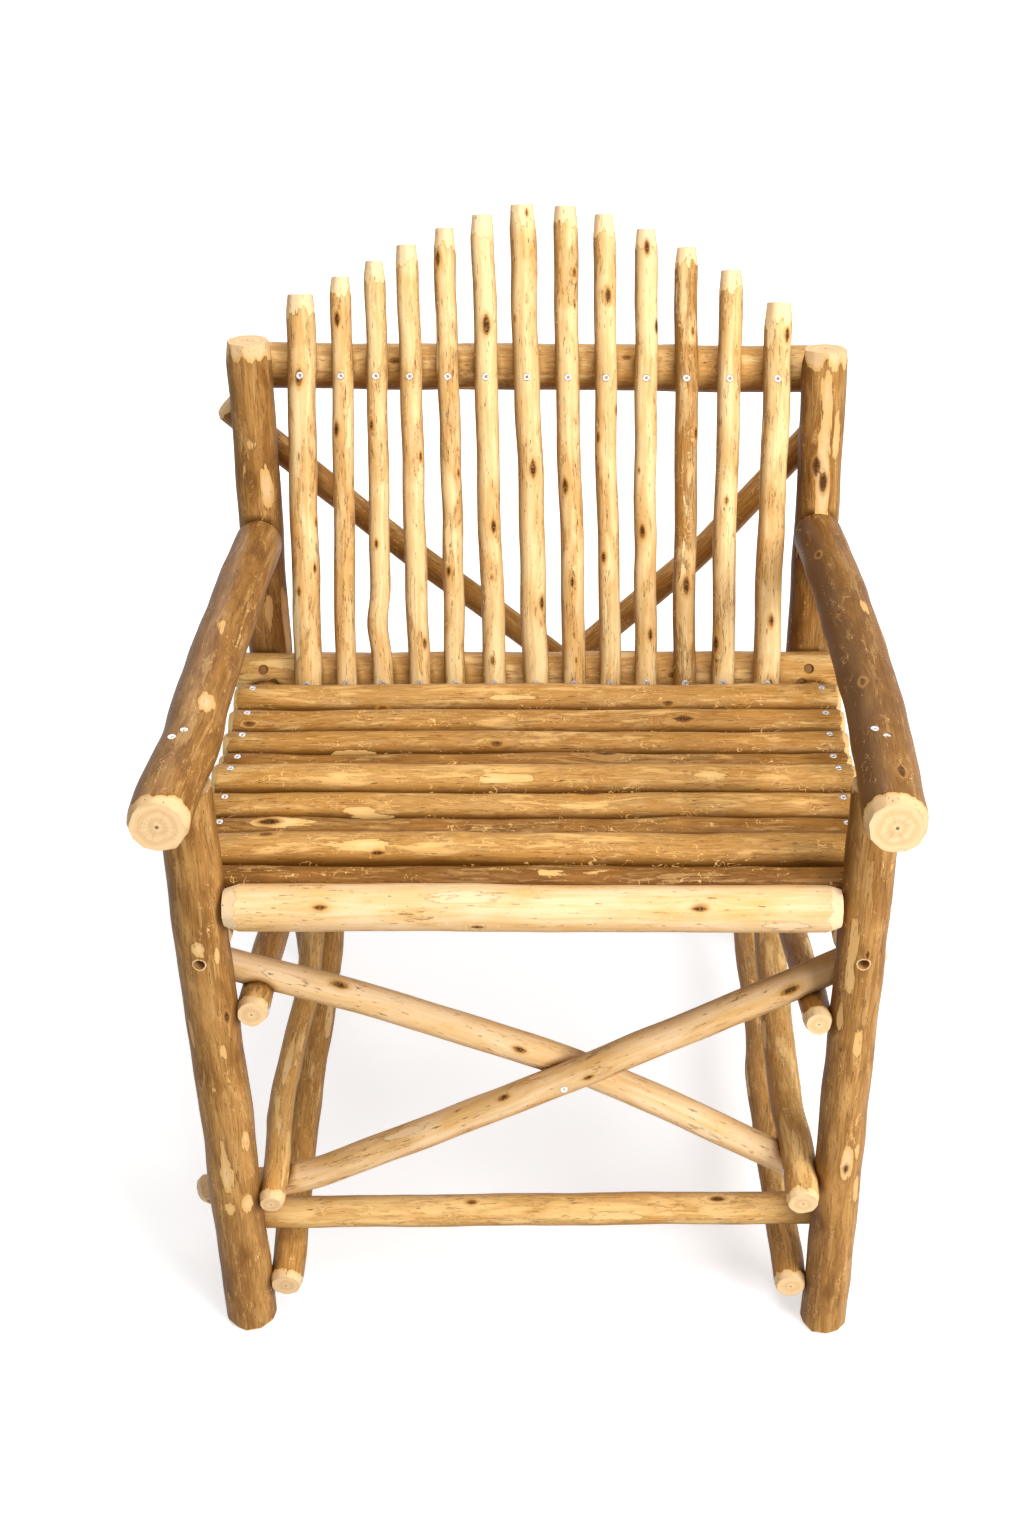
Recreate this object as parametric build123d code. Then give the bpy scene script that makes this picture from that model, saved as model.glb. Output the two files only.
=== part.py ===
from build123d import *
import os
from math import asin, atan2, cos, radians, sin, sqrt, tan

# Rustic armchair of peeled poles, millimetres.
# While the poles are laid out, the origin lies on the floor midway between the front posts,
# +X is the sitter's left hand seen from the front, +Y runs to the back and +Z is up.
# LEFT and RIGHT are as seen from the front. The finished model is then moved so that its
# origin is the centre of the bottom of its bounding box.
LEFT, RIGHT = -1, 1
SIDES = {"left": LEFT, "right": RIGHT}

# ---- stance --------------------------------------------------------------------------------
front_post_spacing = 560        # between the axes of the two front posts
back_post_spacing = 558         # between the axes of the two back posts
rear_leg_x = {"left": -280.5, "right": 277}
back_post_setback = 451         # back post axis behind the front posts, at back_post_datum
back_post_datum = 510           # height at which that setback holds
back_rake = 7.2                 # degrees that the back posts lean back
rear_leg_setback = 563          # rear leg foot behind the front posts

# ---- pole diameters ------------------------------------------------------------------------
front_post_dia_foot = {"left": 49, "right": 44.5}
front_post_dia_head = {"left": 47, "right": 41}
back_post_dia = 44
rear_leg_dia = 43
arm_dia_front, arm_dia_rear = 49, 48
front_rail_dia = 40
rear_rail_dia = 41
top_rail_dia = 45
bearer_dia = 42
upper_rail_dia = {"left": 29, "right": 26}
middle_rail_dia = {"left": 25, "right": 31}
lower_rail_dia = {"left": 32, "right": 31}
stretcher_dia = 31
front_brace_dia = 29
back_brace_dia = 28
slat_dias = (41, 36, 34, 30, 41, 35, 31, 40, 31)         # rear slat first
stick_dias = (28, 21, 21, 22.5, 21, 23, 25.5, 23.5, 21.5, 22, 22.5, 23, 27)

# ---- heights -------------------------------------------------------------------------------
bearing_height = 491            # plane on which the slats lie on the bearers
front_rail_height = 506
rear_rail_height = 492.5
top_rail_height = {"left": 778, "right": 769}     # axis at its two ends
back_post_top = {"left": 817, "right": 805}
back_post_bottom = 172
rear_leg_top = 455
stretcher_height = {"left": 101, "right": 116}
stick_top_heights = (852, 866, 879, 893, 907, 918, 927, 925, 917, 904, 888, 868, 840)

# ---- lengths and places --------------------------------------------------------------------
arm_overhang = 96               # arm end in front of the post axis
arm_height_front = 650.5        # arm axis at its front end
arm_height_rear = {"left": 622, "right": 627}
arm_bow = {"left": 1, "right": 7}   # how far the arm bows outwards
arm_bow_y = 262
arm_cope = 3                    # how deep the arm's flat rear end is hollowed to the back post
slat_length = 587
slat_gap = 0.4                  # between neighbouring slats
front_rail_setback = -6
front_rail_clearance = 0.3      # between the front rail's ends and the posts
rear_rail_length = 616
top_rail_length = 597
bearer_x = 276
stretcher_overlap = 6           # stretcher and braces past the post axis
stick_tail = 32                 # stick below its seat on the rear rail
stick_foot_x = (-231, -192, -155, -118, -82, -43, -1, 37, 73, 109, 148, 186, 229)
stick_head_x = (-229, -190, -156, -123, -86, -49, -9, 31, 68, 107, 146, 188, 234)
rail_tail = 18                  # side rails past the rear leg axis
seat_run = 30                   # a side rail stays straight this far each side of a post axis

# ---- poles under the seat and behind the back ------------------------------------------------
# Side rails: reach of the front end before the post axis, height of the axis at the front end
# and over the rear foot, and (Y, outward bow) where the pole is crooked.
side_rails = {
    "upper": {"left": (8, 390, 326, ()), "right": (14, 387, 284, ((147, -4),))},
    "middle": {"left": (14, 164, 218, ((120, 6), (270, -5.5))),
               "right": (36, 193, 247, ((85, -6), (200, -3.5)))},
    "lower": {"left": (8, 48, 122, ((250, 4),)), "right": (8, 53, 60, ((290, -6),))},
}
# Front braces: X, share of the bow, and height of each knot.
front_braces = {
    "rising": ((-317, 0.3, 136), (-280, 0, 141), (-225, 0.3, 152), (-110, 0.75, 214),
               (28, 1, 288), (150, 0.6, 353), (280, 0, 422), (304, 0, 436)),
    "falling": ((-287, 0, 419), (-280, 0, 416), (-138, 0.6, 360), (28, 1, 288),
                (139, 0.8, 228), (280, 0, 152), (287, 0, 149)),
}
front_brace_crossing = (28, 288)
rising_bow = 11                 # how far the rising brace bows to the front at the crossing
# Back braces: (reach past the post, height at the post), (reach past the leg, height at the
# leg) and a further knot where the pole is crooked.
back_braces = {
    "a": ((44, 712), (16, 190), (-146, 528, 580)),
    "b": ((10, 714), (18, 178), (168, 519, 571)),
}
back_brace_crossing = (19, 526, 427)

# ---- joints --------------------------------------------------------------------------------
bite = 2.5                      # how deep one pole is notched where it lies on another
stick_bite = 1.5
end_chamfer = 3                 # whittled edge of every sawn end
whittle_length = 24             # tapered top of the back sticks
whittle_taper = 0.78
screw_head_dia = 7
screw_head_height = 1.8
screw_shank_dia = 3.6
screw_sink = 0.3                # head below the surface of the pole
plug_thickness = 4
plug_dia = 10
plug_clearance = 0.2
plug_lift = 3                   # plug above the sunk screw head
recess_depth = 9                # how deep the frame screws are sunk
slat_screw_length = 50
stick_screw_length = 38
stick_screw_drops = {"stick_lower_screws": 7, "stick_upper_screws": 11}  # below the seat
rail_screw_length = 50
frame_screw_length = 65
arm_screw_length = 65
arm_screw_places = ((4, 4), (-4, 15))   # outward from the post axis, back from it
bearer_screw_drop = 14          # recessed screw below the bearer axis
toe_screw_setback = 36          # screw head before the rear rail axis
leg_screw_drops = (9, 26)       # below the top of the rear leg
plugged_screws = {"left": ((-278, 38), (-268, -2)), "right": ((273, 38), (266, -2))}
arm_seat_bite = 3               # flat under the arm
seat_clearance = 1              # room around a post or bearer in a flat
leg_lap = 9                     # how deep the rear leg is notched over the back post
straight_enough = 0.02          # smaller turns of a pole's axis, in radians, are left out

parts = {}                      # node name -> solid


# ---- building blocks -----------------------------------------------------------------------
def turned(profile, start, direction):
    """A solid of revolution from (radius, height) points, standing on start along direction."""
    face = Plane.XZ * make_face(Polyline(*profile, close=True))
    return Plane(origin=start, z_dir=direction).location * revolve(face, Axis.Z)


def pole(start, end, start_dia, end_dia=None, start_chamfer=end_chamfer, end_cut=end_chamfer):
    """A straight pole with whittled ends; it may taper."""
    start, end = Vector(*start), Vector(*end)
    length = (end - start).length
    r0 = start_dia / 2
    r1 = (end_dia if end_dia else start_dia) / 2
    profile = [(0, 0), (r0 - start_chamfer, 0)]
    if start_chamfer:
        profile.append((r0, start_chamfer))
    if end_cut:
        profile.append((r1, length - end_cut))
    profile += [(r1 - end_cut, length), (0, length)]
    return turned(profile, start, end - start)


def crooked_pole(points, dia):
    """A pole of one diameter whose axis bends at the points, with whittled ends."""
    spots = [Vector(*point) for point in points]
    steps = [(after - before).normalized() for before, after in zip(spots, spots[1:])]
    bends = [spots[i] for i in range(1, len(steps))
             if (steps[i] - steps[i - 1]).length > straight_enough]
    axis = [spots[0]] + bends + [spots[-1]]
    along = (axis[1] - axis[0]).normalized()
    seam = along.cross(Vector(1, 1, 0))     # kept clear of the faces that seat on other poles
    section = Plane(origin=axis[0], x_dir=seam, z_dir=along) * Circle(dia / 2)
    body = sweep(section, Polyline(*axis), transition=Transition.RIGHT)
    return chamfer(body.faces().filter_by(GeomType.PLANE).edges(), end_chamfer)


def bowed_pole(points, dias):
    """A tapering pole bent in one smooth curve through the points, with whittled ends."""
    spots = [Vector(*point) for point in points]
    first = (spots[1] - spots[0]).normalized()
    last = (spots[-1] - spots[-2]).normalized()
    normals = [first] + [(after - before).normalized()
                         for before, after in zip(spots, spots[2:])] + [last]
    sections = [Plane(origin=spot, z_dir=normal) * Circle(dia / 2)
                for spot, normal, dia in zip(spots, normals, dias)]
    body = loft(sections)
    return chamfer(body.faces().filter_by(GeomType.PLANE).edges(), end_chamfer)


def screw(head, direction, length, sunk):
    """A countersunk wood screw, its head's top `sunk` below the point head."""
    axis = Vector(*direction).normalized()
    rh, rs = screw_head_dia / 2, screw_shank_dia / 2
    profile = ((0, 0), (rh, 0), (rs, screw_head_height), (rs, length - screw_shank_dia),
               (0, length))
    return turned(profile, Vector(*head) + axis * sunk, axis)


def drill(head, direction, depth, dia):
    """The cutter of a round hole, started a little outside the wood."""
    axis = Vector(*direction).normalized()
    run_out = dia
    return Plane(origin=Vector(*head) - axis * run_out, z_dir=axis).location * Cylinder(
        dia / 2, run_out + depth, align=(Align.CENTER, Align.CENTER, Align.MIN))


def notch(name, *tools):
    """Cut the named pole where it seats on the other poles."""
    for tool in tools:
        parts[name] = parts[name] - parts[tool]


def fasten(group, head, direction, length, holds, sunk=screw_sink):
    """Drive one screw of a group through the poles that it holds."""
    fastener = screw(head, direction, length, sunk)
    for name in holds:
        parts[name] = parts[name] - fastener
    bore = plug_dia if sunk > screw_sink else screw_head_dia
    parts[holds[0]] = parts[holds[0]] - drill(head, direction, sunk, bore)
    fasteners.setdefault(group, []).append(fastener)


fasteners = {}


# ---- where the main axes run ---------------------------------------------------------------
def front_x(side):
    return SIDES[side] * front_post_spacing / 2


def back_x(side):
    return SIDES[side] * back_post_spacing / 2


def back_y(z):
    """Y of the back post axis at height z."""
    return back_post_setback + (z - back_post_datum) * tan(radians(back_rake))


def leg_top_y():
    return back_y(rear_leg_top) + (back_post_dia + rear_leg_dia) / 2 - leg_lap


def leg_y(z):
    """Y of the rear leg axis at height z."""
    return rear_leg_setback + (leg_top_y() - rear_leg_setback) * z / rear_leg_top


def front_post_dia(side, z):
    share = z / arm_height_front
    foot, head = front_post_dia_foot[side], front_post_dia_head[side]
    return foot + (head - foot) * share


def arm_z(side, y):
    share = (y + arm_overhang) / (back_y(arm_height_front) + arm_overhang)
    return arm_height_front + (arm_height_rear[side] - arm_height_front) * share


def beside(post_x, post_dia, rail_dia, side):
    """X of a rail that lies against the inner face of a post."""
    return post_x - SIDES[side] * ((post_dia + rail_dia) / 2 - bite)


# ---- posts, legs and arms ------------------------------------------------------------------
def arm_seat_z(side):
    """Height of the flat on which an arm sits on its front post."""
    return arm_z(side, 0) - (arm_dia_front + arm_dia_rear) / 4 + arm_seat_bite


def make_uprights():
    for side in SIDES:
        x, top = front_x(side), arm_seat_z(side)
        parts[f"front_post_{side}"] = pole(
            (x, 0, 0), (x, 0, top), front_post_dia(side, 0), front_post_dia(side, top), end_cut=0)
        x = back_x(side)
        parts[f"back_post_{side}"] = pole(
            (x, back_y(back_post_bottom), back_post_bottom),
            (x, back_y(back_post_top[side]), back_post_top[side]), back_post_dia)
        x = rear_leg_x[side]
        leg = pole((x, leg_y(-rear_leg_dia), -rear_leg_dia), (x, leg_y(rear_leg_top), rear_leg_top),
                   rear_leg_dia)
        floor = Pos(x, leg_y(0), -rear_leg_dia) * Box(4 * rear_leg_dia, 4 * rear_leg_dia,
                                                     2 * rear_leg_dia)
        parts[f"rear_leg_{side}"] = leg - floor
        notch(f"rear_leg_{side}", f"back_post_{side}")


def make_arms():
    for side in SIDES:
        sign = SIDES[side]
        x = front_x(side)
        rear_y = back_y(arm_height_rear[side]) - back_post_dia / 2 + arm_cope
        bowed_x = (x + back_x(side)) / 2 + sign * arm_bow[side]
        path = ((x, -arm_overhang, arm_height_front),
                (bowed_x, arm_bow_y, arm_z(side, arm_bow_y)),
                (back_x(side), rear_y, arm_height_rear[side]))
        arm = bowed_pole(path, (arm_dia_front, (arm_dia_front + arm_dia_rear) / 2, arm_dia_rear))
        room = front_post_dia(side, arm_seat_z(side)) + 2 * seat_clearance
        flat = Pos(x, 0, arm_seat_z(side) - room / 2) * Box(room, room, room)
        parts[f"arm_{side}"] = arm - flat
        notch(f"arm_{side}", f"back_post_{side}")


# ---- seat ----------------------------------------------------------------------------------
def rear_rail_y():
    return back_y(rear_rail_height) - (back_post_dia + rear_rail_dia) / 2 + bite


def bearer_z():
    return bearing_height - bearer_dia / 2 + bite


def slat_rows():
    """Name, Y of the axis and diameter of each slat, from the front one backwards."""
    y = front_rail_setback + front_rail_dia / 2
    rows = []
    for number in range(len(slat_dias), 0, -1):
        dia = slat_dias[number - 1]
        y += slat_gap + dia / 2
        rows.append((f"seat_slat_{number}", y, dia))
        y += dia / 2
    return rows


def make_seat_frame():
    y, z = front_rail_setback, front_rail_height
    ends = [(front_x(side) - SIDES[side] * (front_post_dia(side, z) / 2 + front_rail_clearance),
             y, z) for side in SIDES]
    parts["seat_front_rail"] = pole(ends[0], ends[1], front_rail_dia)
    y, z, half = rear_rail_y(), rear_rail_height, rear_rail_length / 2
    parts["seat_rear_rail"] = pole((-half, y, z), (half, y, z), rear_rail_dia)
    for side in SIDES:
        notch(f"back_post_{side}", "seat_rear_rail")
        x, name = SIDES[side] * bearer_x, f"seat_bearer_{side}"
        bearer = pole((x, 0, bearer_z()), (x, y, bearer_z()), bearer_dia, None, 0, 0)
        above = Pos(x, y / 2, bearing_height + bearer_dia / 2) * Box(
            2 * bearer_dia, 2 * y, bearer_dia)
        parts[name] = bearer - above
        notch(name, f"front_post_{side}", "seat_rear_rail", "seat_front_rail")


def make_slats():
    for name, y, dia in slat_rows():
        z, half = bearing_height + dia / 2 - bite, slat_length / 2
        slat = pole((-half, y, z), (half, y, z), dia)
        for side in SIDES:
            x = SIDES[side] * bearer_x
            width = bearer_dia + 2 * seat_clearance
            slat = slat - Pos(x, y, bearing_height - dia / 2) * Box(width, 2 * dia, dia)
        parts[name] = slat
    front_slat = f"seat_slat_{len(slat_dias)}"
    notch(front_slat, "front_post_left", "front_post_right")


# ---- back ----------------------------------------------------------------------------------
def top_rail_z(x):
    share = x / top_rail_length + 0.5
    return top_rail_height["left"] + (top_rail_height["right"] - top_rail_height["left"]) * share


def top_rail_y():
    return back_y(top_rail_z(0)) + (back_post_dia + top_rail_dia) / 2 - bite


def stick_line(dia, x):
    """Seats of a stick axis on the rear rail and, at x, on the top rail, and the normal
    towards the sitter."""
    low = Vector(0, rear_rail_y(), rear_rail_height)
    high = Vector(0, top_rail_y(), top_rail_z(x))
    reach_low = (rear_rail_dia + dia) / 2 - stick_bite
    reach_high = (top_rail_dia + dia) / 2 - stick_bite
    span = high - low
    lean = atan2(span.Y, span.Z) + asin((reach_high - reach_low) / span.length)
    normal = Vector(0, -cos(lean), sin(lean))
    return low + normal * reach_low, high + normal * reach_high, normal


def make_back():
    y, half = top_rail_y(), top_rail_length / 2
    parts["back_top_rail"] = pole((-half, y, top_rail_height["left"]),
                                  (half, y, top_rail_height["right"]), top_rail_dia)
    notch("back_top_rail", "back_post_left", "back_post_right")
    for i, dia in enumerate(stick_dias):
        low, high, normal = stick_line(dia, stick_head_x[i])
        foot = low + Vector(stick_foot_x[i], 0, 0)
        seat_high = high + Vector(stick_head_x[i], 0, 0)
        along = (seat_high - foot).normalized()
        top = foot + along * ((stick_top_heights[i] - foot.Z) / along.Z)
        tail = foot - along * stick_tail
        length = (top - tail).length
        r = dia / 2
        profile = ((0, 0), (r - end_chamfer / 2, 0), (r, end_chamfer / 2),
                   (r, length - whittle_length), (r * whittle_taper, length - end_chamfer / 2),
                   (r * whittle_taper - end_chamfer / 2, length), (0, length))
        name = f"back_stick_{i + 1:02d}"
        parts[name] = turned(profile, tail, along)
        notch(name, "seat_rear_rail", "back_top_rail")
        for seat, group in ((foot, "stick_lower_screws"), (seat_high, "stick_upper_screws")):
            rail = "seat_rear_rail" if group == "stick_lower_screws" else "back_top_rail"
            head = seat + normal * r - along * stick_screw_drops[group]
            stick_screws.append((group, head, normal * -1, (name, rail)))


# ---- rails under the seat ------------------------------------------------------------------
def make_side_rail(kind, side, dia, reach, z_front, z_rear, bows):
    """A side rail from its front end over post, back post and rear leg to its rear end."""
    def height(y):
        return z_front + (z_rear - z_front) * (y + reach) / (rear_leg_setback + reach)

    def settle(y_of):
        """Y at which the rail meets a leaning post, found by a few repeated steps."""
        y = 0
        for _ in range(8):
            y = y_of(height(y))
        return y

    seats = (
        (0, front_x(side), front_post_dia(side, z_front), f"front_post_{side}"),
        (settle(back_y), back_x(side), back_post_dia, f"back_post_{side}"),
        (settle(leg_y), rear_leg_x[side], rear_leg_dia, f"rear_leg_{side}"))
    xs = [beside(post_x, post_dia, dia, side) for _, post_x, post_dia, _ in seats]
    knots = [(xs[0], -reach), (xs[0], seat_run)]
    for y, bow in bows:
        share = y / seats[1][0]
        knots.append((xs[0] + (xs[1] - xs[0]) * share + SIDES[side] * bow, y))
    knots += [(xs[1], seats[1][0] - seat_run), (xs[1], seats[1][0] + seat_run),
              (xs[2], seats[2][0] - seat_run), (xs[2], seats[2][0] + rail_tail)]
    name = f"side_{kind}_rail_{side}"
    path = [(x, y, height(y)) for x, y in knots]
    parts[name] = crooked_pole(path, dia)
    for (y, _, _, post), x in zip(seats, xs):
        notch(name, post)
        head = (x - SIDES[side] * dia / 2, y, height(y))
        rail_screws.append((head, (SIDES[side], 0, 0), (name, post)))


def make_side_rails():
    dias = {"upper": upper_rail_dia, "middle": middle_rail_dia, "lower": lower_rail_dia}
    for kind, by_side in side_rails.items():
        for side, (reach, z_front, z_rear, bows) in by_side.items():
            make_side_rail(kind, side, dias[kind][side], reach, z_front, z_rear, bows)


def behind_front_post(side, z, dia):
    return (front_post_dia(side, z) + dia) / 2 - bite


def make_stretcher():
    ends = []
    for side in SIDES:
        z = stretcher_height[side]
        y = behind_front_post(side, z, stretcher_dia)
        ends.append((front_x(side) + SIDES[side] * stretcher_overlap, y, z))
        head = (front_x(side), y + stretcher_dia / 2, z)
        brace_screws.append((head, (0, -1, 0), ("front_stretcher", f"front_post_{side}")))
    parts["front_stretcher"] = pole(*ends, stretcher_dia)
    notch("front_stretcher", "front_post_left", "front_post_right")


def front_brace_y(x, z):
    """Y at which a brace at (x, z) lies against the backs of the front posts."""
    left = behind_front_post("left", z, front_brace_dia)
    right = behind_front_post("right", z, front_brace_dia)
    return left + (right - left) * (x - front_x("left")) / front_post_spacing


def make_front_braces():
    spread = front_brace_dia - bite
    bows = {"rising": -rising_bow, "falling": spread - rising_bow}
    for kind, knots in front_braces.items():
        path = [(x, front_brace_y(x, z) + bows[kind] * share, z) for x, share, z in knots]
        name = f"front_brace_{kind}"
        parts[name] = crooked_pole(path, front_brace_dia)
        for x, y, z in path:
            for side in SIDES:
                if x == front_x(side):
                    head = (x, y + front_brace_dia / 2, z)
                    brace_screws.append((head, (0, -1, 0), (name, f"front_post_{side}")))
    notch("front_brace_rising", "front_post_left", "front_post_right",
          "side_upper_rail_right", "side_middle_rail_left")
    notch("front_brace_falling", "front_post_left", "front_post_right",
          "side_upper_rail_left", "side_middle_rail_right", "front_brace_rising")
    x, z = front_brace_crossing
    y = front_brace_y(x, z) - rising_bow - front_brace_dia / 2
    brace_screws.append(((x, y, z), (0, 1, 0), ("front_brace_rising", "front_brace_falling")))


def make_back_braces():
    cross_x, cross_y, cross_z = back_brace_crossing
    lap = back_brace_dia - bite
    for kind, (high, low, waist) in back_braces.items():
        high_side, low_side = ("left", "right") if kind == "a" else ("right", "left")
        offset = (back_post_dia + back_brace_dia) / 2 - bite
        top = (back_x(high_side), back_y(high[1]) + offset, high[1])
        offset = (rear_leg_dia + back_brace_dia) / 2 - bite
        bottom = (rear_leg_x[low_side], leg_y(low[1]) + offset, low[1])
        middle = (cross_x, cross_y + (lap if kind == "a" else 0), cross_z)
        path = [end_beyond(top, middle, high[0]), top, middle, bottom,
                end_beyond(bottom, middle, low[0])]
        path.insert(2, waist)
        name = f"back_brace_{kind}"
        parts[name] = crooked_pole(path, back_brace_dia)
        notch(name, f"back_post_{high_side}", f"rear_leg_{low_side}")
        for spot, post in ((top, f"back_post_{high_side}"), (bottom, f"rear_leg_{low_side}")):
            head = (spot[0], spot[1] + back_brace_dia / 2, spot[2])
            brace_screws.append((head, (0, -1, 0), (name, post)))
    notch("back_brace_a", "back_brace_b")
    head = (cross_x, cross_y + lap + back_brace_dia / 2, cross_z)
    brace_screws.append((head, (0, -1, 0), ("back_brace_a", "back_brace_b")))


def end_beyond(spot, inner, reach):
    """The end of a brace, reach past spot on the line from inner, at the same Y as spot."""
    dx, dz = spot[0] - inner[0], spot[2] - inner[2]
    length = sqrt(dx * dx + dz * dz)
    return (spot[0] + dx / length * reach, spot[1], spot[2] + dz / length * reach)


# ---- fasteners -----------------------------------------------------------------------------
stick_screws, rail_screws, brace_screws = [], [], []


def drive_screws():
    for name, y, dia in slat_rows():
        for side in SIDES:
            head = (SIDES[side] * bearer_x, y, bearing_height + dia - bite)
            fasten("seat_slat_screws", head, (0, 0, -1), slat_screw_length,
                   (name, f"seat_bearer_{side}"))
    for group, head, direction, holds in stick_screws:
        fasten(group, head, direction, stick_screw_length, holds)
    for head, direction, holds in rail_screws:
        fasten("side_rail_screws", head, direction, rail_screw_length, holds)
    for head, direction, holds in brace_screws:
        fasten("brace_screws", head, direction, rail_screw_length, holds)
    for side in SIDES:
        drive_frame_screws(side)


def drive_frame_screws(side):
    sign = SIDES[side]
    arm, front, back = f"arm_{side}", f"front_post_{side}", f"back_post_{side}"
    for dx, y in arm_screw_places:
        head = (front_x(side) + sign * dx, y, arm_z(side, y) + arm_dia_front / 2)
        fasten("arm_screws", head, (0, 0, -1), arm_screw_length, (arm, front))
    z = arm_height_rear[side]
    rear_face = back_y(z) + back_post_dia / 2
    fasten("frame_screws", (back_x(side), rear_face, z), (0, -1, 0), frame_screw_length,
           (back, arm), recess_depth)
    z = bearer_z() - bearer_screw_drop
    front_face = -front_post_dia(side, z) / 2
    fasten("frame_screws", (front_x(side), front_face, z), (0, 1, 0), frame_screw_length,
           (front, f"seat_bearer_{side}"), recess_depth)
    outer_face = front_x(side) + sign * front_post_dia(side, front_rail_height) / 2
    fasten("frame_screws", (outer_face, front_rail_setback / 2, front_rail_height),
           (-sign, 0, 0), frame_screw_length, (front, "seat_front_rail"), recess_depth)
    rear_face = top_rail_y() + top_rail_dia / 2
    fasten("frame_screws", (back_x(side), rear_face, top_rail_z(back_x(side))), (0, -1, 0),
           frame_screw_length, ("back_top_rail", back), recess_depth)
    for drop in leg_screw_drops:
        z = rear_leg_top - drop
        fasten("frame_screws", (rear_leg_x[side], leg_y(z) + rear_leg_dia / 2, z), (0, -1, 0),
               frame_screw_length, (f"rear_leg_{side}", back), recess_depth)
    rise = (0, 0.6, 0.8)
    head = (sign * bearer_x, rear_rail_y() - toe_screw_setback, bearer_z() - bearer_dia / 2)
    fasten("toe_screws", head, rise, rail_screw_length, (f"seat_bearer_{side}", "seat_rear_rail"))
    for x, angle in plugged_screws[side]:
        out = Vector(0, -cos(radians(angle)), sin(radians(angle)))
        head = Vector(x, rear_rail_y(), rear_rail_height) + out * (rear_rail_dia / 2)
        fasten("frame_screws", head, out * -1, frame_screw_length, ("seat_rear_rail", back),
               recess_depth)
        plug = Plane(origin=head - out * recess_depth, z_dir=out).location * Pos(
            0, 0, plug_lift) * Cylinder(plug_dia / 2 - plug_clearance, plug_thickness,
                                        align=(Align.CENTER, Align.CENTER, Align.MIN))
        fasteners.setdefault("seat_rail_plugs", []).append(plug)


# ---- assembly ------------------------------------------------------------------------------
make_uprights()
make_arms()
make_seat_frame()
make_slats()
make_back()
make_side_rails()
make_stretcher()
make_front_braces()
make_back_braces()
drive_screws()

boxes = [shape.bounding_box() for shape in parts.values()]
centre_x = (min(b.min.X for b in boxes) + max(b.max.X for b in boxes)) / 2
centre_y = (min(b.min.Y for b in boxes) + max(b.max.Y for b in boxes)) / 2
floor_z = min(b.min.Z for b in boxes)

to_origin = Pos(-centre_x, -centre_y, -floor_z)

os.makedirs("parts", exist_ok=True)
for name, shape in parts.items():
    export_step(to_origin * shape, f"parts/{name}.step")
for group, solids in fasteners.items():
    export_step(Compound([to_origin * solid for solid in solids]), f"parts/{group}.step")
print(f"{len(parts) + len(fasteners)} nodes, origin at {centre_x:.3f}, {centre_y:.3f}, {floor_z:.3f}")
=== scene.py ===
"""The looks of a twig chair: its peeled poles, screws and plugs, in a plain studio."""
import math

import bmesh
import bpy
import numpy as np
from mathutils import Euler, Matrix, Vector
from mathutils.geometry import convex_hull_2d

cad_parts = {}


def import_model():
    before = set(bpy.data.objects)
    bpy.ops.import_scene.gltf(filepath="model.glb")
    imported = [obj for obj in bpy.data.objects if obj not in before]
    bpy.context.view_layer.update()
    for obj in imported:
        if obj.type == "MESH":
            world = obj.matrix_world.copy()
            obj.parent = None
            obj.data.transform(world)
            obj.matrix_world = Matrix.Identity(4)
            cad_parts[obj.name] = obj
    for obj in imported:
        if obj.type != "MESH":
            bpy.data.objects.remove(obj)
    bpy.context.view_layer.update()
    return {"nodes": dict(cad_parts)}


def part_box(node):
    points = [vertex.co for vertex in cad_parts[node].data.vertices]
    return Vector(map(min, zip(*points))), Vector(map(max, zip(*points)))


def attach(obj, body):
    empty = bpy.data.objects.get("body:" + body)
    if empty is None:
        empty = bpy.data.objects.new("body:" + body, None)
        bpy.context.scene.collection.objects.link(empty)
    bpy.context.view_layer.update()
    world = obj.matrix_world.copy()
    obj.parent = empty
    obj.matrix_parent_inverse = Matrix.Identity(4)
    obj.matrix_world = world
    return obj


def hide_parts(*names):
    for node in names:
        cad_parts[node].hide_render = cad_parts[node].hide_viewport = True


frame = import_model()
nodes = frame["nodes"]
MM = 0.001
UP = np.array((0.0, 0.0, 1.0))
FRONT = np.array((0.0, -1.0, 0.0))
CUT_END, BORED = 1, 2  # a pole's second and third material; the first is its round face


# ---- meshes and objects ----
def to_mesh(bm, name, materials):
    mesh = bpy.data.meshes.new(name)
    bm.to_mesh(mesh)
    bm.free()
    for material in materials:
        mesh.materials.append(material)
    return mesh


def show(name, data):
    """A new object in the scene."""
    made = bpy.data.objects.new(name, data)
    bpy.context.scene.collection.objects.link(made)
    return made


def read(mesh):
    values = np.zeros(len(mesh.vertices) * 3)
    mesh.vertices.foreach_get("co", values)
    return values.reshape(-1, 3)


def write(mesh, name, *columns):
    """Store three numbers for every point of a mesh, for its material to read."""
    rows = np.stack(np.broadcast_arrays(*columns), axis=1)
    layer = mesh.attributes.new(name, "FLOAT_VECTOR", "POINT")
    layer.data.foreach_set("vector", rows.astype(np.float32).ravel())


def unit(vector):
    return vector / np.linalg.norm(vector)


def wrap(angle):
    return (angle + math.pi) % (2 * math.pi) - math.pi


def turned_to(out, place):
    """Matrix that moves a shape to a place and turns its z axis along out."""
    matrix = Vector(out).to_track_quat("Z", "Y").to_matrix().to_4x4()
    matrix.translation = Vector(place)
    return matrix


# ---- measuring a pole of the frame ----
ROUND_ENOUGH = 0.35 * MM  # how far the outline of a section may leave its circle
STATION_GAP = 32 * MM  # between the sections that are measured


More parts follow.
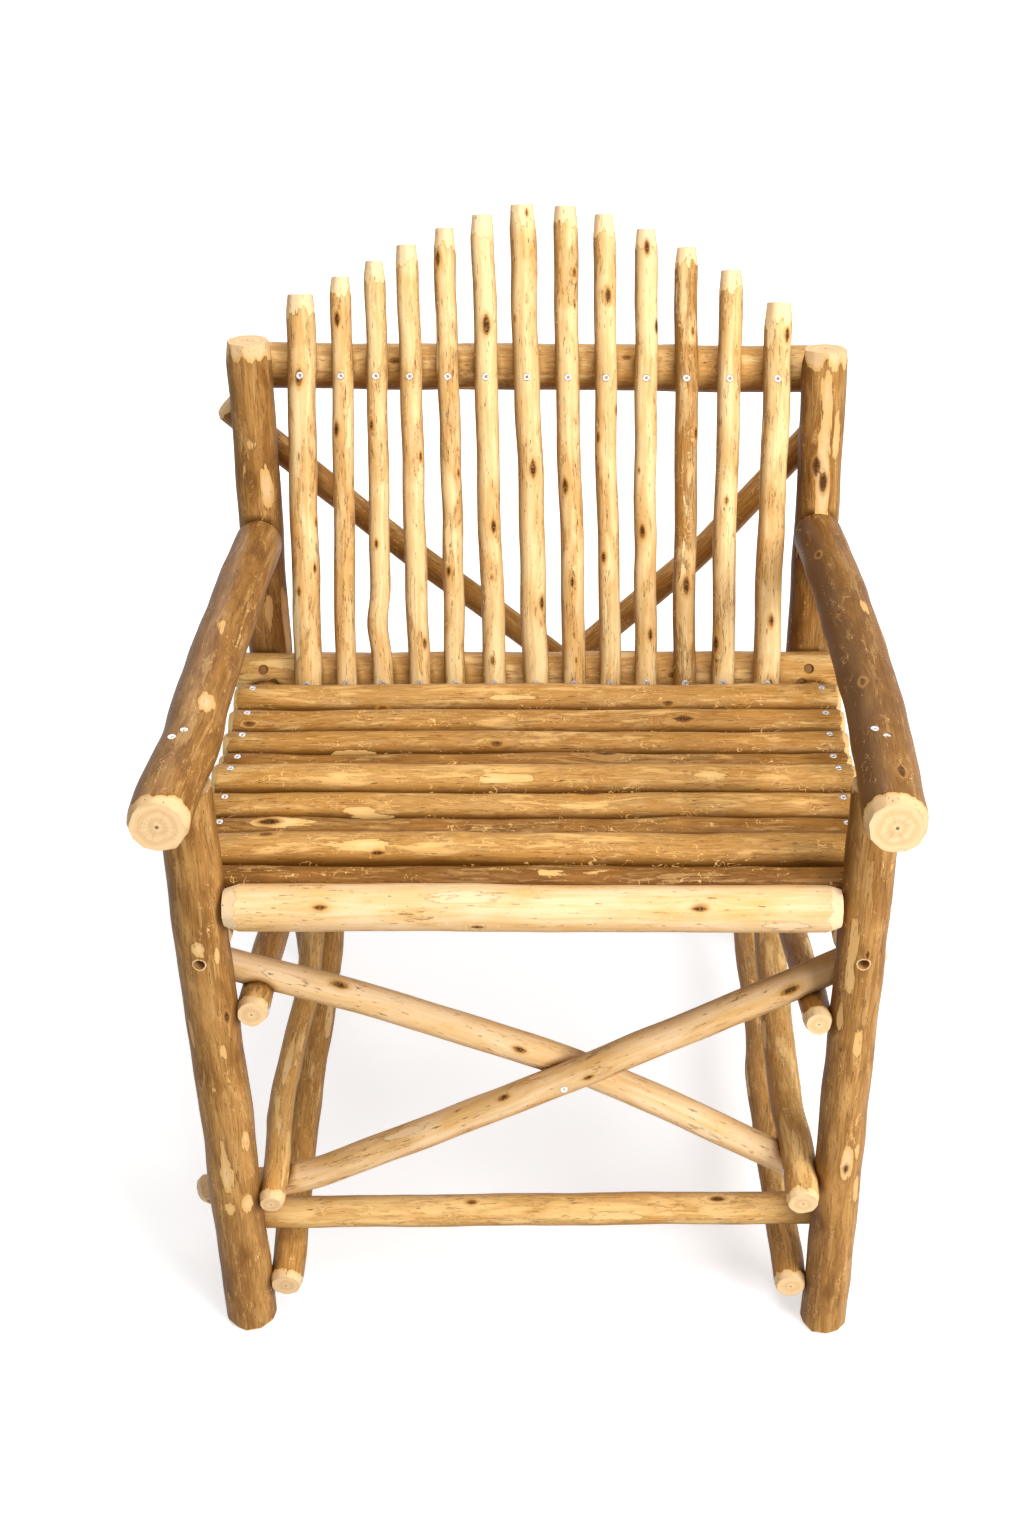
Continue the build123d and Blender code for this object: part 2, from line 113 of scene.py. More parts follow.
def hull_circle(points):
    """Centre and radius of the round outline of a section, past its notches and bores."""
    hull = points[convex_hull_2d([tuple(p) for p in points])]
    for _ in range(6):
        system = np.c_[2 * hull, np.ones(len(hull))]
        x, y, c = np.linalg.lstsq(system, (hull ** 2).sum(1), rcond=None)[0]
        radius = math.sqrt(c + x * x + y * y)
        error = np.abs(np.hypot(hull[:, 0] - x, hull[:, 1] - y) - radius)
        if error.max() < ROUND_ENOUGH or len(hull) < 9:
            break
        hull = hull[error < max(0.6 * error.max(), 0.3 * MM)]
    return x, y, radius


def smooth_interp(t, stations, row):
    """Cubic interpolation through evenly spaced stations, straight beyond them."""
    slope = 1 / (stations[1] - stations[0])
    tangent = np.gradient(row)
    place = np.clip((t - stations[0]) * slope, 0, len(stations) - 1)
    i = np.minimum(place.astype(int), len(stations) - 2)
    f = place - i
    h00, h10 = (1 + 2 * f) * (1 - f) ** 2, f * (1 - f) ** 2
    h01, h11 = f * f * (3 - 2 * f), f * f * (f - 1)
    inside = h00 * row[i] + h10 * tangent[i] + h01 * row[i + 1] + h11 * tangent[i + 1]
    before, after = np.minimum(t - stations[0], 0), np.maximum(t - stations[-1], 0)
    return inside + (before * tangent[0] + after * tangent[-1]) * slope


class Axis:
    """Where a pole runs: its ends, and its centre and radius along it."""

    def __init__(self, node, margins):
        mesh = nodes[node].data
        self.points = points = read(mesh)
        edges = np.zeros(len(mesh.edges) * 2, int)
        mesh.edges.foreach_get("vertices", edges)
        self.edges = edges.reshape(-1, 2)
        spread = points.max(0) - points.min(0)
        self.origin = (points.min(0) + points.max(0)) / 2
        self.along = unit(np.linalg.svd(points - points.mean(0), full_matrices=False)[2][0])
        self.along *= np.sign(self.along[np.argmax(spread)])
        for _ in range(2):
            self.turn()
            low, high = self.reach()
            first, last = [self.place(t, *self.section(t)[:2])
                           for t in (low + margins[0], high - margins[1])]
            self.along, self.origin = unit(last - first), first
        self.turn()
        self.low, self.high = self.reach()
        self.length = self.high - self.low
        count = max(4, int(self.length / STATION_GAP))
        self.t = np.linspace(self.low + margins[0], self.high - margins[1], count)
        self.x, self.y, self.radius = np.array([self.section(t) for t in self.t]).T

    @property
    def upright(self):
        return abs(self.along[2]) > 0.8

    def turn(self):
        """Side directions: `up` faces the sky or, on an upright pole, the front."""
        guide = FRONT if self.upright else UP
        self.up = unit(guide - self.along * (guide @ self.along))
        self.side = np.cross(self.along, self.up)

    def reach(self):
        t = (self.points - self.origin) @ self.along
        return t.min(), t.max()

    def section(self, t):
        """Offsets of the centre and radius where a plane at t cuts the solid."""
        heights = (self.points - self.origin) @ self.along - t
        a, b = self.edges.T
        cut = (heights[a] < 0) != (heights[b] < 0)
        a, b = a[cut], b[cut]
        share = (heights[a] / (heights[a] - heights[b]))[:, None]
        crossed = self.points[a] + (self.points[b] - self.points[a]) * share - self.origin
        return hull_circle(np.c_[crossed @ self.up, crossed @ self.side])

    def place(self, t, x, y):
        return self.origin + self.along * t + self.up * x + self.side * y

    def centre(self, t):
        """Offsets of the centre and radius at distances t along the pole."""
        return [smooth_interp(t, self.t, row) for row in (self.x, self.y, self.radius)]


# ---- shaping a pole ----
# Knife cuts round an end: their length, their depth at the tip and how many there are.
PLAIN, BLUNT, SHAVED = (1.6, 0.7, 11), (5.5, 3.2, 11), (11, 2.8, 11)
RING_STEP, FINE_STEP = 4 * MM, 1.1 * MM  # between rings, and where an end is whittled
OVAL = 0.012  # how far a pole is from round, as a share of its radius
TWIST = 2.2  # how far that shape turns along the pole
WANDER_FADE = 60 * MM  # a pole wanders less when an end is nearer than this
TILT_REACH = 12 * MM  # how far the tilt of a saw cut is felt
NEAR = 20.0  # millimetres within which other poles are looked for
# As shares of a knot's size: its swelling, what the knife leaves of it, its stain, and how far
# round it the grain parts and how much.
SWELL_WIDE, SWELL_LONG, SWELL_HIGH = 2.2, 4.0, 0.32
PARED_LONG, PARED_HIGH = 2.6, 0.22
STAIN_LONG = 3.1
PARTING_WIDE, PARTING_LONG, PARTING = 3.2, 9.0, 0.85


def any_angle(rng, size=None):
    return rng.uniform(0, 6.28, size)


def ripple(t, length, phase):
    return np.sin(6.283 * t / length + phase)


def planed(worked, plane, turn, narrow, where=True):
    """Radius after a flat cut at height plane, turn away from its middle."""
    facing = np.cos(turn)
    level = np.where((facing > narrow) & where, plane / np.maximum(facing, narrow), 1.0)
    return np.minimum(worked, level)


class Pole:
    """A hand-worked pole along an Axis: its own bends, knots, drawknife cuts and whittled ends.

    A knot is (place, turn, size), a shaved place (place, turn, half length, depth) and a bend
    (place, reach, way sideways), in millimetres from the lower, left or front end and degrees.
    knot_size and shave give the ranges of random ones, wander how far the centre strays, girth
    how much the thickness varies and tone how pale the pole is. The last setting turns the
    painted light: the side it points to stays pale, and the sides away from it get painted shade.
    """

    def __init__(self, node, seed, finish, around=36, margins=(8, 8), start=BLUNT, end=BLUNT,
                 knots=(), random_knots=2, knot_size=(2.6, 4.2), shaves=(), random_shaves=5,
                 shave=(12, 45, 0.3, 0.8), bends=(), wander=(0.5, 0.8), girth=0.012,
                 tone=0.5, lean=12):
        self.node, self.finish, self.around = node, finish, around
        self.tone, self.lean = tone, math.radians(lean)
        self.axis = axis = Axis(node, [margin * MM for margin in margins])
        self.rng = rng = np.random.RandomState(seed)
        self.waves = [(2, OVAL, rng.uniform(0.25, 0.6)), (3, OVAL * 0.45, rng.uniform(0.12, 0.3)),
                      (0, girth, rng.uniform(0.05, 0.09)), (0, girth, rng.uniform(0.13, 0.24)),
                      (1, girth * 0.6, rng.uniform(0.06, 0.11))]
        self.phases = rng.uniform(0, 2 * math.pi, (len(self.waves), 2))
        self.wander = [(wander[0] * MM * share, wander[1] * MM * share, rng.uniform(low, high),
                        any_angle(rng, 2))
                       for share, low, high in ((0.7, 0.28, 0.5), (0.45, 0.09, 0.17))]
        self.bends = [(axis.low + t * MM, reach * MM, side * MM) for t, reach, side in bends]
        self.knots = [(axis.low + t * MM, math.radians(angle), size * MM)
                      for t, angle, size in knots]
        for _ in range(random_knots):
            self.knots.append((axis.low + axis.length * rng.uniform(0.08, 0.92),
                               any_angle(rng), rng.uniform(*knot_size) * MM))
        self.cuts = [(axis.low + t * MM, math.radians(angle), half * MM, depth * MM)
                     for t, angle, half, depth in shaves]
        for _ in range(random_shaves):
            self.cuts.append((axis.low + axis.length * rng.uniform(0.05, 0.95),
                              any_angle(rng), rng.uniform(*shave[:2]) * MM,
                              rng.uniform(*shave[2:]) * MM))
        self.whittles = [self.whittled(*start), self.whittled(*end)]
        self.tilts = [(any_angle(rng), rng.uniform(0.01, 0.035)) for _ in (0, 1)]

    def whittled(self, length, taper, faces):
        """Knife cuts round an end: direction, reach along the pole and depth at the tip."""
        rng = self.rng
        turn = any_angle(rng)
        return [(turn + (k + rng.uniform(-0.28, 0.28)) * 2 * math.pi / faces,
                 length * rng.uniform(0.75, 1.15) * MM, taper * rng.uniform(0.82, 1.12) * MM)
                for k in range(faces)]

    def rings(self):
        """Places of the rings along the pole, closer where an end is whittled."""
        axis = self.axis
        start, end = [max(reach for _, reach, _ in rows) * 1.15 for rows in self.whittles]
        middle = axis.length - end - start
        count = max(2, int(middle / RING_STEP))
        return axis.low + np.r_[
            np.arange(0, start, FINE_STEP),
            np.linspace(start, axis.length - end, count, endpoint=False),
            axis.length - np.arange(0, end, FINE_STEP)[::-1]]

    def natural(self, theta, t, radius):
        """Radius of the peeled pole before a blade touched it, knots included."""
        share = np.zeros_like(t)
        for (lobes, size, length), (a, b) in zip(self.waves, self.phases):
            wave = size * np.cos(lobes * theta + a + TWIST * t / length)
            share += wave if lobes else wave * ripple(t, length, b)
        out = radius * (1 + share)
        for place, angle, size in self.knots:
            across = radius * wrap(theta - angle) / (size * SWELL_WIDE)
            along = (t - place) / (size * SWELL_LONG)
            out = out + SWELL_HIGH * size * np.exp(-across ** 2 - along ** 2)
        return out

    def shaped(self, theta, t):
        """Offsets of the centre, natural radius and worked radius."""
        axis = self.axis
        x, y, radius = axis.centre(t)
        fade = np.clip(np.minimum(t - axis.low, axis.high - t) / WANDER_FADE, 0, 1)
        for up, sideways, length, (a, b) in self.wander:
            x = x + fade * up * ripple(t, length, a)
            y = y + fade * sideways * ripple(t, length, b)
        for place, reach, sideways in self.bends:
            y = y + sideways * np.exp(-((t - place) / reach) ** 2)
        natural = worked = self.natural(theta, t, radius)
        for place, angle, half, depth in self.cuts:
            plane = radius - depth * (1 - ((t - place) / half) ** 2)
            worked = planed(worked, plane, theta - angle, 0.2)
        for place, angle, size in self.knots:
            worked = planed(worked, radius + PARED_HIGH * size, theta - angle, 0.5,
                            np.abs(t - place) < size * PARED_LONG)
        for rows, distance in zip(self.whittles, (t - axis.low, axis.high - t)):
            for angle, reach, taper in rows:
                plane = radius - taper * (1 - distance / reach)
                worked = planed(worked, plane, theta - angle, 0.3)
        return x, y, natural, np.maximum(worked, 0.4 * radius)

    def build(self, materials, proud=0.0):
        """The pole as an object; proud makes it that much thicker, to cut a saddle with."""
        axis, rings = self.axis, self.rings()
        bm = bmesh.new()
        bmesh.ops.create_cone(bm, cap_ends=True, cap_tris=False, segments=self.around,
                              radius1=1, radius2=1, depth=1)
        sides = [e for e in bm.edges if abs(e.verts[0].co.z - e.verts[1].co.z) > 0.5]
        bmesh.ops.subdivide_edges(bm, edges=sides, cuts=len(rings) - 2, use_grid_fill=True)
        caps = [f for f in bm.faces if len(f.verts) == self.around]
        for cap in caps:
            cap.material_index = CUT_END
            for edge in cap.edges:
                edge.smooth = False
        for thickness in (0.12, 0.25, 0.25):
            bmesh.ops.inset_individual(bm, faces=caps, thickness=thickness, use_even_offset=True)
        bmesh.ops.poke(bm, faces=caps)
        bm.normal_update()
        for face in bm.faces:
            face.smooth = True
        mesh = to_mesh(bm, self.node + "_shape", materials)
        flat = read(mesh)
        theta = np.arctan2(flat[:, 1], flat[:, 0])
        inside = np.minimum(np.hypot(flat[:, 0], flat[:, 1]), 1)
        t = np.interp((flat[:, 2] + 0.5) * (len(rings) - 1), np.arange(len(rings)), rings)
        x, y, _, worked = self.shaped(theta, t)
        r = (worked + proud) * inside
        for (angle, slope), distance in zip(self.tilts, (t - axis.low, axis.high - t)):
            t = t + r * np.cos(theta - angle) * slope * np.clip(1 - distance / TILT_REACH, 0, 1)
        places = (axis.origin + np.outer(t, axis.along) + np.outer(x + r * np.cos(theta), axis.up)
                  + np.outer(y + r * np.sin(theta), axis.side))
        if axis.upright:  # feet stand flat on the floor
            sunk = np.minimum(places[:, 2], 0) / axis.along[2]
            places -= np.outer(sunk, axis.along)
        mesh.vertices.foreach_set("co", places.astype(np.float32).ravel())
        mesh.update()
        return show("pole_" + self.node, mesh)

    def nearness(self, places):
        """Distance in millimetres from each place to the nearest other pole, up to NEAR."""
        near = np.full(len(places), NEAR)
        low, high = places.min(0) - NEAR * MM, places.max(0) + NEAR * MM
        for pole in poles.values():
            axis = pole.axis
            apart = (axis.points.min(0) > high).any() or (axis.points.max(0) < low).any()
            if pole is self or apart:
                continue
            away = places - axis.origin
            t = away @ axis.along
            x, y, radius = axis.centre(t)
            gap = np.hypot(away @ axis.up - x, away @ axis.side - y) - radius
            past = np.maximum(np.maximum(axis.low - t, t - axis.high), 0)
            near = np.minimum(near, np.hypot(np.maximum(gap, 0), past) / MM)
        return near

    def mark(self, mesh):
        """Grain, knots, worked depth, ends and surroundings, written on the finished mesh."""
        axis, places = self.axis, read(mesh)
        away = places - axis.origin
        t = away @ axis.along
        radius = axis.centre(t)[2]
        x, y, _, _ = self.shaped(np.zeros_like(t), t)
        u, v = away @ axis.up - x, away @ axis.side - y
        theta, r = np.arctan2(v, u), np.hypot(u, v)
        nearest, flow = np.full_like(t, 6.0), theta
        for place, angle, size in self.knots:
            across, along = wrap(theta - angle), t - place
            pointed = np.abs(radius * across) / size + (along / (STAIN_LONG * size)) ** 2
            nearest = np.minimum(nearest, pointed)
            wide, long = PARTING_WIDE * size / radius, PARTING_LONG * size
            parted = PARTING * across * np.exp(-(across / wide) ** 2 - (along / long) ** 2)
            flow = flow - parted
        rim = np.full_like(t, 9.0)
        for head, out, bore, pale_rim in bores.get(self.node, ()):
            if pale_rim:
                apart = places - head
                height = apart @ out
                across = np.linalg.norm(apart - np.outer(height, out), axis=1)
                rim = np.where(height > 0, np.minimum(rim, (across - bore) / MM), rim)
        offset = self.rng.uniform(0, 4)
        write(mesh, "grain", r * np.cos(flow), r * np.sin(flow), t - axis.low + offset)
        write(mesh, "marks", nearest, (self.natural(theta, t, radius) - r) / MM, rim)
        write(mesh, "turn", r / radius, offset, radius / MM)
        # the turn from the painted light and the nearness of other poles place the painted shade;
        # tone is the pole's own paleness
        write(mesh, "facing", np.cos(theta - self.lean), self.nearness(places), self.tone)


# ---- shader node groups ----
class Nodes:
    """Short ways to add nodes to one tree."""

    def __init__(self, tree):
        self.tree = tree

    def add(self, kind, **settings):
        node = self.tree.nodes.new(kind)
        for key, value in settings.items():
            setattr(node, key, value)
        return node

    def join(self, source, socket):
        if isinstance(source, bpy.types.NodeSocket):
            self.tree.links.new(source, socket)
        else:
            socket.default_value = source

    def math(self, operation, a, b=0.0, c=0.0, clamp=False):
        node = self.add("ShaderNodeMath", operation=operation, use_clamp=clamp)
        for value, socket in zip((a, b, c), node.inputs):
            self.join(value, socket)
        return node.outputs[0]

    def times(self, a, b, clamp=False):
        return self.math("MULTIPLY", a, b, clamp=clamp)

    def plus(self, value, share, rest, clamp=False):
        """A share of a value, added to the rest."""
        return self.math("MULTIPLY_ADD", value, share, rest, clamp)

    def less(self, a, b):
        return self.math("SUBTRACT", a, b)

    def either(self, a, b):
        return self.math("MAXIMUM", a, b)

    def vector(self, operation, a, b):
        node = self.add("ShaderNodeVectorMath", operation=operation)
        self.join(a, node.inputs[0])
        self.join(b, node.inputs[1])
        return node.outputs[0]

    def between(self, value, low, high, out_low=0.0, out_high=1.0):
        node = self.add("ShaderNodeMapRange", interpolation_type="SMOOTHSTEP")
        for source, socket in zip((value, low, high, out_low, out_high), node.inputs):
            self.join(source, socket)
        return node.outputs[0]

    def at_limit(self, value, limit, below, above):
        """1 where a value meets its limit, fading out this far below and above it."""
        return self.times(self.between(value, self.math("ADD", limit, -below), limit),
                          self.between(value, self.math("ADD", limit, above), limit))

    def thin_lines(self, noise, wide, narrow):
        """Thin lines where a noise crosses its middle."""
        return self.between(self.math("ABSOLUTE", self.less(noise, 0.5)), wide, narrow)

    def mix(self, share, a, b):
        node = self.add("ShaderNodeMix", data_type="RGBA")
        self.join(share, node.inputs[0])
        self.join(a, node.inputs[6])
        self.join(b, node.inputs[7])
        return node.outputs[2]

    def noise(self, place, scale, detail, rough=0.5, distortion=0.0, shift=0.0):
        stretched = self.vector("MULTIPLY", place, scale)
        if shift:
            stretched = self.vector("ADD", stretched, (shift, shift * 0.7, shift * 1.3))
        node = self.add("ShaderNodeTexNoise")
        self.join(stretched, node.inputs["Vector"])
        for label, value in (("Scale", 1.0), ("Detail", detail), ("Roughness", rough),
                             ("Distortion", distortion)):
            node.inputs[label].default_value = value
        return node.outputs[0]

    def attribute(self, name):
        return self.add("ShaderNodeAttribute", attribute_name=name).outputs["Vector"]

    def split(self, source):
        node = self.add("ShaderNodeSeparateXYZ")
        self.join(source, node.inputs[0])
        return node.outputs


def rgb(red, green, blue):
    """A colour given as it looks on screen, 0 to 255."""
    def linear(c):
        c /= 255
        return c / 12.92 if c <= 0.04045 else ((c + 0.055) / 1.055) ** 2.4
    return (linear(red), linear(green), linear(blue), 1.0)


def new_group(name, values):
    """A group with these values for inputs; colour, roughness and height come out."""
    tree = bpy.data.node_groups.new(name, "ShaderNodeTree")
    for label, value in values.items():
        kind = "Float" if isinstance(value, float) else "Color"
        socket = tree.interface.new_socket(label, in_out="INPUT", socket_type="NodeSocket" + kind)
        socket.default_value = value
    for label, kind in (("Color", "Color"), ("Roughness", "Float"), ("Height", "Float")):
        tree.interface.new_socket(label, in_out="OUTPUT", socket_type="NodeSocket" + kind)
    n = Nodes(tree)
    return tree, n, n.add("NodeGroupInput").outputs, n.add("NodeGroupOutput").inputs


def peeled_wood_group(values):
    """The round face of a peeled pole: pale wood under what is left of the inner bark.

    Its sides and the places where other poles come near get painted shade.
    """
    tree, n, given, out = new_group("peeled wood", values)
    grain = n.attribute("grain")
    knot, worked, rim = n.split(n.attribute("marks"))
    facing, touch, tone = n.split(n.attribute("facing"))
    fibre = n.noise(grain, (900, 900, 22), 2.0, 0.6)
    streak = n.noise(grain, (240, 240, 8), 4.0, 0.62, shift=3.1)
    cloud = n.noise(grain, (40, 40, 13), 3.0, 0.55, 0.5, shift=7.7)
    patch = n.noise(grain, (140, 140, 21), 8.0, 0.66, 0.35, shift=11.3)
    chip = n.noise(grain, (88, 88, 30), 6.0, 0.62, 0.3, shift=41.0)
    chip = n.plus(n.less(patch, 0.5), 0.5, chip)
    scratch = n.noise(grain, (650, 650, 75), 2.0, 0.6, shift=17.9)
    curl = n.noise(grain, (150, 150, 105), 1.0, 0.5, 0.6, shift=23.3)
    paler = n.less(tone, 0.5)
    # painted shade: full on the sides turned away from the painted light, less again on the back
    side = n.times(n.between(facing, 0.92, given["Turn"]),
                   n.between(facing, -0.1, -0.95, 1.0, 0.3))

    # where a blade has passed: whittled ends, shaved places and the rims of sunk bores
    ragged = n.times(n.plus(patch, 2.4, -1.2), n.between(worked, 0.0, 0.12))
    cut = n.math("ADD", worked, ragged)
    bared = n.either(n.between(cut, 0.10, 0.17), n.between(rim, 1.5, 1.1))
    unworked = n.less(1.0, bared)

    # bark: ragged patches with crisp breaks
    level = n.plus(patch, 0.62, n.times(cloud, 0.38))
    # painted shade: the shaded sides get more of the bark colour
    level = n.plus(n.times(side, given["Sides"]), 0.10, level)
    level = n.plus(paler, -0.16, level)
    low = n.plus(given["Cover"], -0.36, 0.68)
    covered = n.between(level, n.less(low, given["Edge"]), n.math("ADD", low, given["Edge"]))
    limit = n.plus(paler, -0.06, given["Chips"])
    broken = n.between(chip, limit, n.math("ADD", limit, 0.012))
    covered = n.times(n.times(covered, unworked), n.less(1.0, broken))

    # pale wood
    tint = n.plus(n.between(streak, 0.30, 0.70), 0.62, n.between(cloud, 0.30, 0.70, -0.20, 0.50))
    tint = n.plus(paler, -0.7, tint)
    tint = n.times(tint, n.plus(unworked, 0.85, 0.15), clamp=True)
    wood = n.mix(tint, given["Pale"], given["Golden"])
    wood = n.mix(n.times(n.between(fibre, 0.52, 0.80, 0.0, 0.45), unworked), wood,
                 given["Golden"])
    deeply = n.either(n.between(cut, 0.35, 1.1), n.between(rim, 1.5, 1.1))
    wood = n.mix(n.times(deeply, 0.9), wood, given["Fresh"])

    # bark, lighter and darker in clouds, layers and long streaks
    light = n.plus(paler, 0.35, cloud)
    layer = n.plus(streak, 0.4, n.times(patch, 0.6))
    bark = n.mix(n.between(light, 0.40, 0.64, 0.0, 0.85), given["Bark"], given["Golden"])
    bark = n.mix(n.times(n.between(streak, 0.46, 0.74), given["Streaks"]), bark, given["Dark"])
    for source, start, full, share, colour in (
            (streak, 0.44, 0.26, 0.55, "Golden"), (light, 0.44, 0.28, 0.55, "Dark"),
            (fibre, 0.48, 0.72, 0.50, "Dark"), (scratch, 0.42, 0.28, 0.35, "Golden"),
            (layer, 0.535, 0.56, 0.38, "Pale"), (layer, 0.455, 0.435, 0.32, "Dark")):
        bark = n.mix(n.between(source, start, full, 0.0, share), bark, given[colour])
    colour = n.mix(covered, wood, bark)

    # browner round the sides, as painted shade on the sides turned from the painted light, and
    # browner on dark poles in their own colour
    side_shade_and_dark_tone = n.times(n.times(side, given["Sides"]), n.plus(streak, 0.8, 0.45), clamp=True)
    side_shade_and_dark_tone = n.plus(n.either(n.times(paler, -1.0), 0.0), n.between(cloud, 0.35, 0.6, 0.2, 1.0),
                     side_shade_and_dark_tone, clamp=True)
    side_shade_and_dark_tone = n.times(side_shade_and_dark_tone, n.plus(unworked, 0.8, 0.2))
    colour = n.mix(side_shade_and_dark_tone, colour, given["Deep brown and shade"])
    # painted shade where poles touch, darkest in a thin line where they meet
    painted_contact_shade = n.times(n.between(touch, 8.0, 0.8), n.plus(streak, 0.9, 0.4), clamp=True)
    colour = n.mix(n.times(painted_contact_shade, unworked), colour, given["Deep brown and shade"])
    colour = n.mix(n.times(n.between(touch, 2.4, 0.6, 0.0, 0.9), unworked), colour,
                   given["Dark"])

    # thin dark lines along the edges of the bark, pale curls and fine cracks
    line = n.times(n.at_limit(level, low, 0.018, 0.016), n.between(scratch, 0.42, 0.60))
    line = n.times(n.times(line, unworked), given["Outline"])
    break_line = n.times(n.times(n.at_limit(chip, limit, 0.016, 0.014), unworked), 0.5)
    cut_line = n.times(n.times(n.between(cut, 0.04, 0.12), n.between(cut, 0.24, 0.14)), 0.42)
    line = n.either(n.either(line, break_line), cut_line)
    colour = n.mix(line, colour, given["Dark"])
    curled = n.times(n.thin_lines(curl, 0.020, 0.008), n.between(chip, 0.54, 0.58))
    curled = n.times(n.times(curled, given["Curls"]), unworked)
    colour = n.mix(curled, colour, given["Pale"])
    crack = n.times(n.between(scratch, 0.655, 0.70), 0.75)
    colour = n.mix(crack, colour, given["Dark"])

    # knots: a dark slit in a stained eye, with the grain drawn round it
    uneven = n.math("ADD", knot, n.plus(scratch, 0.7, -0.35))
    stain = n.times(n.between(uneven, 2.6, 0.8), n.between(streak, 0.2, 0.6, 0.4, 0.9))
    colour = n.mix(stain, colour, n.mix(0.5, given["Bark"], given["Golden"]))
    colour = n.mix(n.between(uneven, 1.2, 0.9, 0.0, 0.8), colour, given["Deep brown and shade"])
    speckle = n.noise(grain, (1500, 1500, 900), 1.0, shift=31.0)
    heart = n.mix(n.between(speckle, 0.50, 0.66), given["Dark"], given["Bark"])
    heart = n.mix(0.45, heart, rgb(40, 24, 14))
    colour = n.mix(n.between(uneven, 0.78, 0.56), colour, heart)
    slit = n.between(uneven, 0.65, 0.42)

    # relief
    height = n.plus(fibre, 0.10, n.times(streak, 0.20))
    for source, share in ((covered, 0.22), (line, -0.20), (slit, -0.60), (crack, -0.30)):
        height = n.plus(source, share, height)
    n.join(colour, out["Color"])
    n.join(n.between(covered, 0.0, 1.0, 0.60, 0.48), out["Roughness"])
    n.join(height, out["Height"])
    return tree


def sawn_end_group(values):
    """End grain: growth rings round the pith, drying cracks and saw marks."""
    tree, n, given, out = new_group("sawn end", values)
    turn = n.attribute("turn")
    share, _, size = n.split(turn)
    flat = n.vector("MULTIPLY", n.attribute("grain"), (1, 1, 0))
    shifted = n.vector("ADD", flat, n.vector("MULTIPLY", turn, (0, 1, 0)))
    waver = n.noise(shifted, (70, 70, 1), 2.0)
    inward = n.times(share, size)
    ring = n.math("SINE", n.times(n.plus(waver, 6.0, inward), 2.9))
    broad = n.math("SINE", n.times(n.plus(waver, 9.0, inward), 0.75))
    tone = n.math("ADD", n.times(ring, 0.13), n.plus(broad, 0.26, 0.30))
    speck = n.noise(shifted, (900, 900, 1), 2.0, 0.7)
    tone = n.math("ADD", tone, n.plus(speck, 0.6, -0.3), clamp=True)
    colour = n.mix(tone, given["Pale"], given["Ring"])
    colour = n.mix(n.between(share, 0.90, 1.0, 0.0, 0.45), colour, given["Ring"])
    way = n.add("ShaderNodeVectorMath", operation="NORMALIZE")
    n.join(flat, way.inputs[0])
    turned = n.vector("ADD", way.outputs[0], n.vector("MULTIPLY", turn, (0, 3, 0)))
    spoke = n.noise(turned, (2.3, 2.3, 1), 3.0, 0.6)
    crack = n.times(n.thin_lines(spoke, 0.010, 0.003), n.between(share, 0.7, 0.3))
    crack = n.times(crack, given["Cracks"])
    pith = n.times(n.between(share, 0.075, 0.045), 0.85)
    colour = n.mix(n.either(crack, pith), colour, given["Dark"])
    saw = n.noise(shifted, (90, 1100, 1), 2.0, 0.6)
    n.join(colour, out["Color"])
    n.join(0.72, out["Roughness"])
    n.join(n.plus(saw, 0.35, n.times(crack, -0.6)), out["Height"])
    return tree


def new_material(name):
    material = bpy.data.materials.new(name)
    material.use_nodes = True
    return material, Nodes(material.node_tree), material.node_tree.nodes["Principled BSDF"]


def wood_material(name, tree, values, relief, gloss):
    """A wood made by a group with these values, its relief in millimetres."""
    material, n, shader = new_material(name)
    wood = n.add("ShaderNodeGroup", node_tree=tree)
    for key, value in values.items():
        wood.inputs[key].default_value = value
    bump = n.add("ShaderNodeBump")
    bump.inputs["Distance"].default_value = relief * MM
    n.join(wood.outputs["Height"], bump.inputs["Height"])
    n.join(wood.outputs["Color"], shader.inputs["Base Color"])
    n.join(wood.outputs["Roughness"], shader.inputs["Roughness"])
    n.join(bump.outputs[0], shader.inputs["Normal"])
    shader.inputs["Specular IOR Level"].default_value = gloss
    return material


def zinc_material():
    """Bright zinc plate, a little cloudy."""
    material, n, shader = new_material("zinc plate")
    place = n.add("ShaderNodeTexCoord").outputs["Object"]
    cloudy = n.noise(place, (900, 900, 900), 3.0, 0.6)
    dull, bright = (0.62, 0.63, 0.66, 1), (0.86, 0.87, 0.88, 1)
    n.join(n.mix(n.between(cloudy, 0.35, 0.7), dull, bright), shader.inputs["Base Color"])
    n.join(n.between(cloudy, 0.3, 0.7, 0.28, 0.46), shader.inputs["Roughness"])
    shader.inputs["Metallic"].default_value = 1.0
    return material
